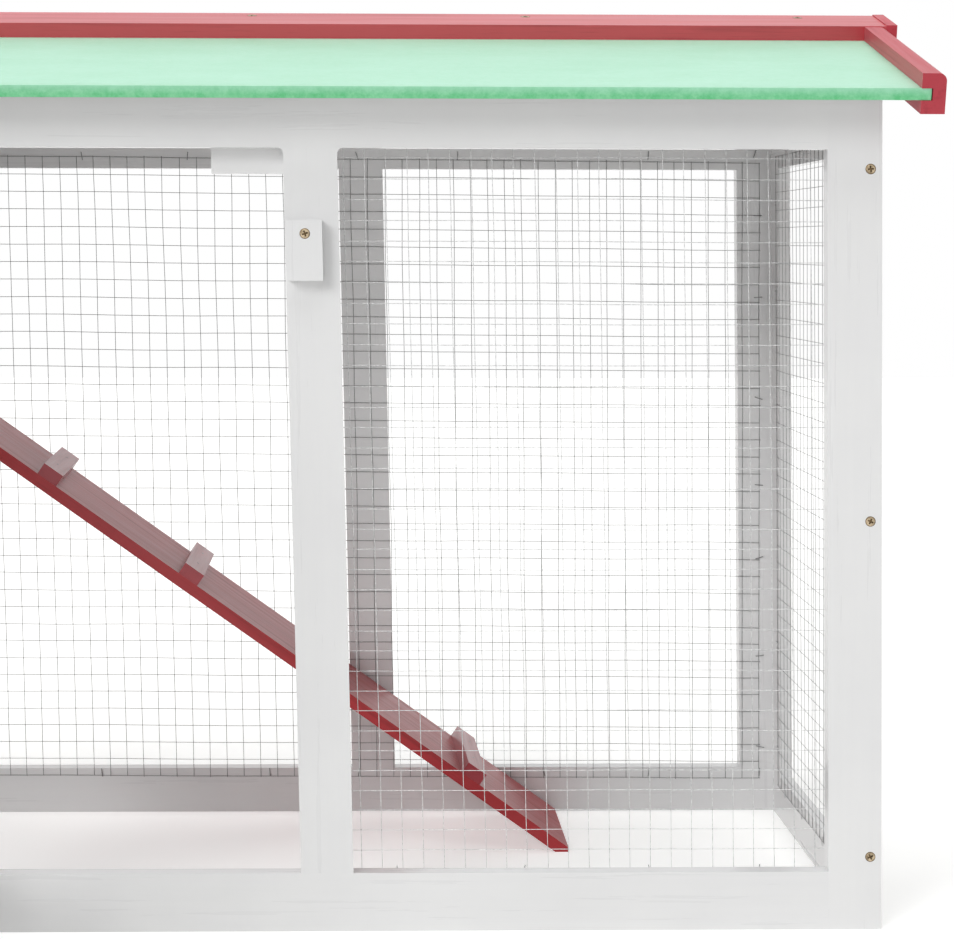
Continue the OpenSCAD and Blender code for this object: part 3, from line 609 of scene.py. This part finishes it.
# Staples: the wire's radius, half the crown, the legs in the wood, and the crown's bow outwards
STAPLE_R = 0.48 * MM
STAPLE_HALF = 4.2 * MM
STAPLE_LEG = 3.5 * MM
STAPLE_BOW = 0.25 * MM
# How far out of true a staple sits, in radians, and how far out from the uprights, in wire radii
STAPLE_TILT = 0.35
STAPLE_OUT = 2.2
# The usual distance between staples, and in millimetres how far one is off its place
STAPLE_GAP = 105 * MM
STAPLE_SHIFT = 14

# The staples that the photo shows on the rear rails: millimetres from the right side, and up
REAR_STAPLES = [
    (773, 45.2), (585, 45.2), (485, 45), (277, 44.5), (159, 44.2), (34, 44),
    (772, 729.6), (657, 730), (472, 730.5), (362, 731), (153, 732), (36, 734),
]


def staples(job, material, spots, depth):
    """Staples over the wires at the edges: spots are (along, height, upright)."""
    name, run, wood = "staples_" + job.name, job.run, job.wood
    rng = random.Random(len(name) * 31 + 5)
    points, faces = [], []
    side = axis_vector(1 - run)
    into = side * wood * STAPLE_LEG
    bow = side * -wood * STAPLE_BOW
    for u, v, upright in spots:
        angle = rng.uniform(-STAPLE_TILT, STAPLE_TILT) + (math.pi / 2 if upright else 0)
        reach = Vector((0, 0, math.sin(angle)))
        reach[run] = math.cos(angle)
        middle = Vector((0, 0, v))
        middle[run] = u
        middle[1 - run] = depth - wood * STAPLE_OUT * WIRE_R
        a = middle - reach * STAPLE_HALF
        b = middle + reach * STAPLE_HALF
        line = [a + into, a, middle + bow, b, b + into]
        add_wire(points, faces, line, side.cross(reach).normalized(), STAPLE_R)
    make_piece(name, points, faces, material, job.body)


def spaced(places):
    """Even places for staples between the first wire and the last, a staple gap apart or so."""
    low, high = places[0], places[-1]
    count = max(2, round((high - low) / STAPLE_GAP))
    return [low + (i + 0.5) * (high - low) / count for i in range(count)]


def side_spots(u_places, v_places, seed):
    """Staples up both upright edges of a net."""
    rng = random.Random(seed)
    spots = []
    for v in spaced(v_places):
        for u in (u_places[0], u_places[-1]):
            spots.append((u, v + rng.uniform(-STAPLE_SHIFT, STAPLE_SHIFT) * MM, False))
    return spots


def level_spots(u_places, v_places, seed):
    """Staples along the lower and upper edges of a net."""
    rng = random.Random(seed)
    spots = []
    for u in spaced(u_places):
        for v in (v_places[0], v_places[-1]):
            spots.append((u + rng.uniform(-STAPLE_SHIFT, STAPLE_SHIFT) * MM, v, True))
    return spots


def make_nets(materials):
    for seed, job in enumerate(NETS):
        name, run = job.name, job.run
        low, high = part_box(name)
        u_start, v_start = job.start or (low[run] + NET_START, low.z + NET_START)
        u_places = steps(u_start, low[run] + NET_EDGE, high[run] - NET_EDGE, job.cell[0])
        v_places = steps(v_start, low.z + NET_EDGE, high.z - NET_EDGE, job.cell[1])
        depth = wire_net(job, materials[job.finish], u_places, v_places, seed + NET_SEED)
        spots = side_spots(u_places, v_places, seed + SIDE_STAPLE_SEED)
        if name == "rear_net":
            spots = [(RIGHT_X - back * MM, up * MM, True) for back, up in REAR_STAPLES] + spots
        else:
            spots = spots + level_spots(u_places, v_places, seed + LEVEL_STAPLE_SEED)
        staples(job, materials[job.staple_finish], spots, depth)


# Wood screws: places of those in the posts, in the ridge boards, and in the turn buttons
POST_SCREW_IN = 10.5 * MM
POST_SCREW_LOW = 69 * MM
POST_SCREW_DROP = 17.5 * MM
POST_SCREW_MID_DROP = 3 * MM
RIDGE_SCREWS = 6
RIDGE_SCREW_IN = 33.5 * MM
RIDGE_SCREW_DOWN = 8 * MM
BUTTON_IN = 18.2 * MM
BUTTON_OUT = 15.3 * MM
BUTTON_DROP = {"front_mid_post": 76.5 * MM, "front_jamb_post": 119.5 * MM}
# The screw's length, and its shank as radii and heights in millimetres
SCREW_L = 24 * MM
SHANK = [(0.5, 0), (1.9, 4), (1.95, 22.2)]
SHANK_SIDES = 12
# How far the edge of a head is sunk
HEAD_SUNK = 0.3 * MM

# Hinge screws: how far up a door's leaf and away from its pin
HINGE_SCREWS = ((9 * MM, 9.6 * MM), (25 * MM, 12.4 * MM), (41 * MM, 9.6 * MM))
# Places along the ramp's pin, and how far away from it
RAMP_SCREWS = (-30 * MM, 0, 30 * MM)
RAMP_SCREW_OFF = 11 * MM
HINGE_SEED = 60


def add_cross_head(points, faces, dark, base, out, seed, radius, proud, deep):
    """A screw head with a cross recess: a domed ring, and a cross sunk deep into it. The numbers
    of the faces that lie in shadow, its rim and its recess, are added to dark."""
    rng = random.Random(seed)
    spin = rng.uniform(0, math.pi / 2)
    side = out.orthogonal().normalized()
    side = (math.cos(spin) * side + math.sin(spin) * out.cross(side)).normalized()
    other = out.cross(side).normalized()
    half, arm = 0.16 * radius, 0.56 * radius
    cross = [
        (arm, -half), (arm, half), (half, half), (half, arm), (-half, arm), (-half, half),
        (-arm, half), (-arm, -half), (-half, -half), (-half, -arm), (half, -arm), (half, -half),
    ]
    angles = [math.atan2(b, a) for a, b in cross]
    rim = [(math.cos(angle), math.sin(angle)) for angle in angles]

    def ring(outline, size, height):
        middle = base + height * out
        return [middle + size * a * side + size * b * other for a, b in outline]

    rings = [
        ring(rim, 0.5 * radius, min(0, proud - deep) - 0.25 * MM),
        ring(rim, radius, 0),
        ring(rim, radius, 0.45 * proud),
        ring(rim, 0.84 * radius, proud),
        ring(cross, 1, proud),
        ring(cross, 0.75, proud - deep),
    ]
    flat_top = 3
    first = len(faces)
    add_rings(points, faces, rings)
    for band in range(len(rings) - 1):
        if band != flat_top:
            dark.extend(range(first + band * len(cross), first + (band + 1) * len(cross)))
    dark.append(len(faces) - 1)


# Paints shade: the listed faces take the second, darker material
def darken(piece, dark, material):
    piece.data.materials.append(material)
    for number in dark:
        piece.data.polygons[number].material_index = 1


def screw_places():
    """(place of the head's top, direction out) of every wood screw."""
    post_x = RIGHT_X - POST_SCREW_IN
    low = POST_SCREW_LOW
    high = OPENING_TOP - POST_SCREW_DROP
    spots = []
    for x in (-post_x, post_x):
        for z in (low, (low + high) / 2 - POST_SCREW_MID_DROP, high):
            spots.append((Vector((x, FRONT_Y, z)), FRONT))
            spots.append((Vector((x, REAR_Y, z)), REAR))
    mid_y = (FRONT_Y + REAR_Y) / 2
    end_x = RIGHT_X - RIDGE_SCREW_IN
    for i in range(RIDGE_SCREWS):
        x = end_x - i * 2 * end_x / (RIDGE_SCREWS - 1)
        for way in (-1, 1):
            out = Vector((0, way * math.sin(SLOPE), math.cos(SLOPE)))
            down = Vector((0, way * math.cos(SLOPE), -math.sin(SLOPE)))
            ridge = Vector((x, mid_y, RIDGE_Z))
            spots.append((ridge + RIDGE_SCREW_DOWN * down + RIDGE_OUT * out, out))
    for post, drop in BUTTON_DROP.items():
        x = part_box(post)[0].x + BUTTON_IN
        spots.append((Vector((x, FRONT_Y - BUTTON_OUT, OPENING_TOP - drop)), FRONT))
    return spots


def make_screws(materials):
    """Whole screws with cross heads stand for the plain ones."""
    points, faces, dark = [], [], []
    for seed, (top, out) in enumerate(screw_places()):
        base = top - HEAD_SUNK * out
        add_cross_head(points, faces, dark, base, out, seed, radius=4.9 * MM, proud=0.5 * MM, deep=1.6 * MM)
        add_turned(points, faces, top - SCREW_L * out, out, SHANK, SHANK_SIDES)
    piece = make_piece("cross_head_screws", points, faces, materials["yellow"], "cage", False)
    # The rims and recesses get painted shade
    darken(piece, dark, materials["yellow_zinc_painted_shade"])
    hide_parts("wood_screws")


def hinge_screw_heads(name, body, materials, spots):
    points, faces, dark = [], [], []
    for number, (face, out) in enumerate(spots):
        base = face - HEAD_SUNK * out
        seed = number + HINGE_SEED
        add_cross_head(points, faces, dark, base, out, seed, radius=2.9 * MM, proud=1.0 * MM, deep=0.6 * MM)
    piece = make_piece(name, points, faces, materials["steel"], body, False)
    # The heads' rims and recesses take the dark grey: painted shade
    darken(piece, dark, materials["dull_wire_and_painted_shade"])


def make_hinge_screws(materials):
    low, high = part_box("run_door_hinge_leaves")
    house_low, house_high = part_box("house_door_hinge_leaves")
    face_y = PIN_Y + LEAF_FACE
    on_frame, on_run_door, on_house_door = [], [], []
    for z in (low.z, high.z - LEAF_H):
        for up, away in HINGE_SCREWS:
            on_frame.append((Vector((RUN_PIN_X - away, face_y, z + up)), FRONT))
            on_run_door.append((Vector((RUN_PIN_X + LEAF_FACE, PIN_Y - away, z + up)), LEFT))
    for z in (house_low.z, house_high.z - LEAF_H):
        for up, away in HINGE_SCREWS:
            on_frame.append((Vector((HOUSE_PIN_X - away, face_y, z + up)), FRONT))
            on_house_door.append((Vector((HOUSE_PIN_X + away, face_y, z + up)), FRONT))
    hinge_screw_heads("hinge_screws_on_frame", "cage", materials, on_frame)
    hinge_screw_heads("hinge_screws_on_run_door", "run_door", materials, on_run_door)
    hinge_screw_heads("hinge_screws_on_house_door", "house_door", materials, on_house_door)
    on_floor, on_ramp = [], []
    for step in RAMP_SCREWS:
        pin = RAMP_PIN + Vector((0, step, 0))
        on_floor.append((pin + Vector((-RAMP_SCREW_OFF, 0, -LEAF_FACE)), UP))
        on_ramp.append((pin + RAMP_SCREW_OFF * RAMP_DOWN - LEAF_FACE * RAMP_OFF, RAMP_OFF))
    hinge_screw_heads("ramp_hinge_screws_on_floor", "cage", materials, on_floor)
    hinge_screw_heads("ramp_hinge_screws_on_ramp", "ramp", materials, on_ramp)


# Cleat nails. The cleats' places are in millimetres up from the ramp's foot
CLEATS = 4
CLEAT_FIRST = 128.5
CLEAT_PITCH = 177.5
CLEAT_H = 13 * MM
NAIL_PLACES = (-37 * MM, 40 * MM)
NAIL_DEEP = 2 * MM
# Radii and heights in millimetres
NAIL = [(0.6, 0), (0.6, 1.9), (1.3, 1.95), (1.15, 2.15), (0.4, 2.25)]
NAIL_SIDES = 12


def make_cleat_nails(materials):
    """Two small nail heads on each cleat."""
    points, faces = [], []
    for i in range(CLEATS):
        reach = RAMP_L - (CLEAT_FIRST + CLEAT_PITCH * i) * MM
        for y in NAIL_PLACES:
            top = RAMP_PIN + reach * RAMP_DOWN + Vector((0, y, 0)) + (CLEAT_H - PIN_OUT) * RAMP_OFF
            add_turned(points, faces, top - NAIL_DEEP * RAMP_OFF, RAMP_OFF, NAIL, NAIL_SIDES)
    make_piece("cleat_nails", points, faces, materials["dull_wire_and_painted_shade"], "ramp")


# Knobs: radii and heights in millimetres, and the door knob's place from the door's corner
KNOB = [
    (12.2, 0), (12.4, 1.2), (11.6, 2.2), (11.3, 5.0), (11.5, 8.0), (12.0, 10.5), (12.2, 12.4),
    (11.6, 14.4), (9.8, 15.9), (6.5, 16.8), (2.5, 17.1), (0.3, 17.15),
]
KNOB_SIDES = 36
KNOB_IN = 22 * MM
KNOB_UP = 33 * MM


def make_knobs(materials):
    """Turned knobs over the plain ones on the house door and the tray's front."""
    door_low, door_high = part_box("house_door")
    tray_low, tray_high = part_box("tray_front")
    door_spot = Vector((door_high.x - KNOB_IN, FRONT_Y, door_low.z + KNOB_UP))
    tray_spot = Vector(((tray_low.x + tray_high.x) / 2, FRONT_Y, (tray_low.z + tray_high.z) / 2))
    for name, body, spot in (("house_door_knob", "house_door", door_spot), ("tray_knob", "tray", tray_spot)):
        points, faces = [], []
        add_turned(points, faces, spot, FRONT, KNOB, KNOB_SIDES)
        make_piece(name, points, faces, materials["white_z"], body)


# Studio
FLOOR_HALF = 9.0
# How bright the floor and the world look to the camera, and the world's light on the object
FLOOR_GLOW = 0.44
WORLD_SEEN = 1.0
WORLD_LIGHT = 0.06

# Sun lamps: name, strength, width in degrees, and the direction that the light goes
LAMPS = [
    ("key_lamp", 1.35, 28, (0.72, 1.0, -0.62)),
    ("front_fill", 0.32, 50, (0.05, 1.0, -0.08)),
    ("left_fill", 0.22, 40, (1.0, 0.35, -0.25)),
    ("top_lamp", 2.15, 60, (0.0, 0.12, -1.0)),
]


def seen(tree):
    """1 where the camera looks, also in metal or through glass, and 0 for the light that falls
    on the object."""
    path = tree.nodes.new("ShaderNodeLightPath")
    level = path.outputs["Is Camera Ray"]
    for ray in ("Is Glossy Ray", "Is Transmission Ray"):
        either = tree.nodes.new("ShaderNodeMath")
        either.operation = "MAXIMUM"
        tree.links.new(level, either.inputs[0])
        tree.links.new(path.outputs[ray], either.inputs[1])
        level = either.outputs[0]
    return level


def make_floor():
    mesh = bpy.data.meshes.new("studio_floor")
    corners = [(x * FLOOR_HALF, y * FLOOR_HALF, 0) for x, y in ((-1, -1), (1, -1), (1, 1), (-1, 1))]
    mesh.from_pydata(corners, [], [(0, 1, 2, 3)])
    floor = new_object("studio_floor", mesh)
    material, tree, shader = new_material("studio_floor")
    put(shader, {
        "Base Color": (0.80, 0.80, 0.785, 1),
        "Roughness": 0.9,
        "Specular IOR Level": 0.0,
        "Emission Color": (1, 1, 1, 1),
    })
    glow = spread(tree, seen(tree), (0.0, 1.0), (0.0, FLOOR_GLOW))
    tree.links.new(glow, shader.inputs["Emission Strength"])
    mesh.materials.append(material)


def make_world():
    world = bpy.data.worlds.new("studio")
    bpy.context.scene.world = world
    world.use_nodes = True
    tree = world.node_tree
    background = tree.nodes["Background"]
    put(background, {"Color": (1, 1, 1, 1)})
    level = spread(tree, seen(tree), (0.0, 1.0), (WORLD_LIGHT, WORLD_SEEN))
    tree.links.new(level, background.inputs["Strength"])


def make_lamps():
    for name, strength, width, towards in LAMPS:
        data = bpy.data.lights.new(name, "SUN")
        data.energy = strength
        data.angle = math.radians(width)
        lamp = new_object(name, data)
        lamp.rotation_euler = Vector(towards).to_track_quat("-Z", "Y").to_euler()


def build():
    bpy.context.scene.view_settings.view_transform = "Standard"
    make_camera()
    make_world()
    make_floor()
    make_lamps()
    materials = make_materials()
    finish_nodes(materials)
    make_nets(materials)
    make_screws(materials)
    make_hinge_screws(materials)
    make_cleat_nails(materials)
    make_knobs(materials)


build()
bpy.context.view_layer.update()
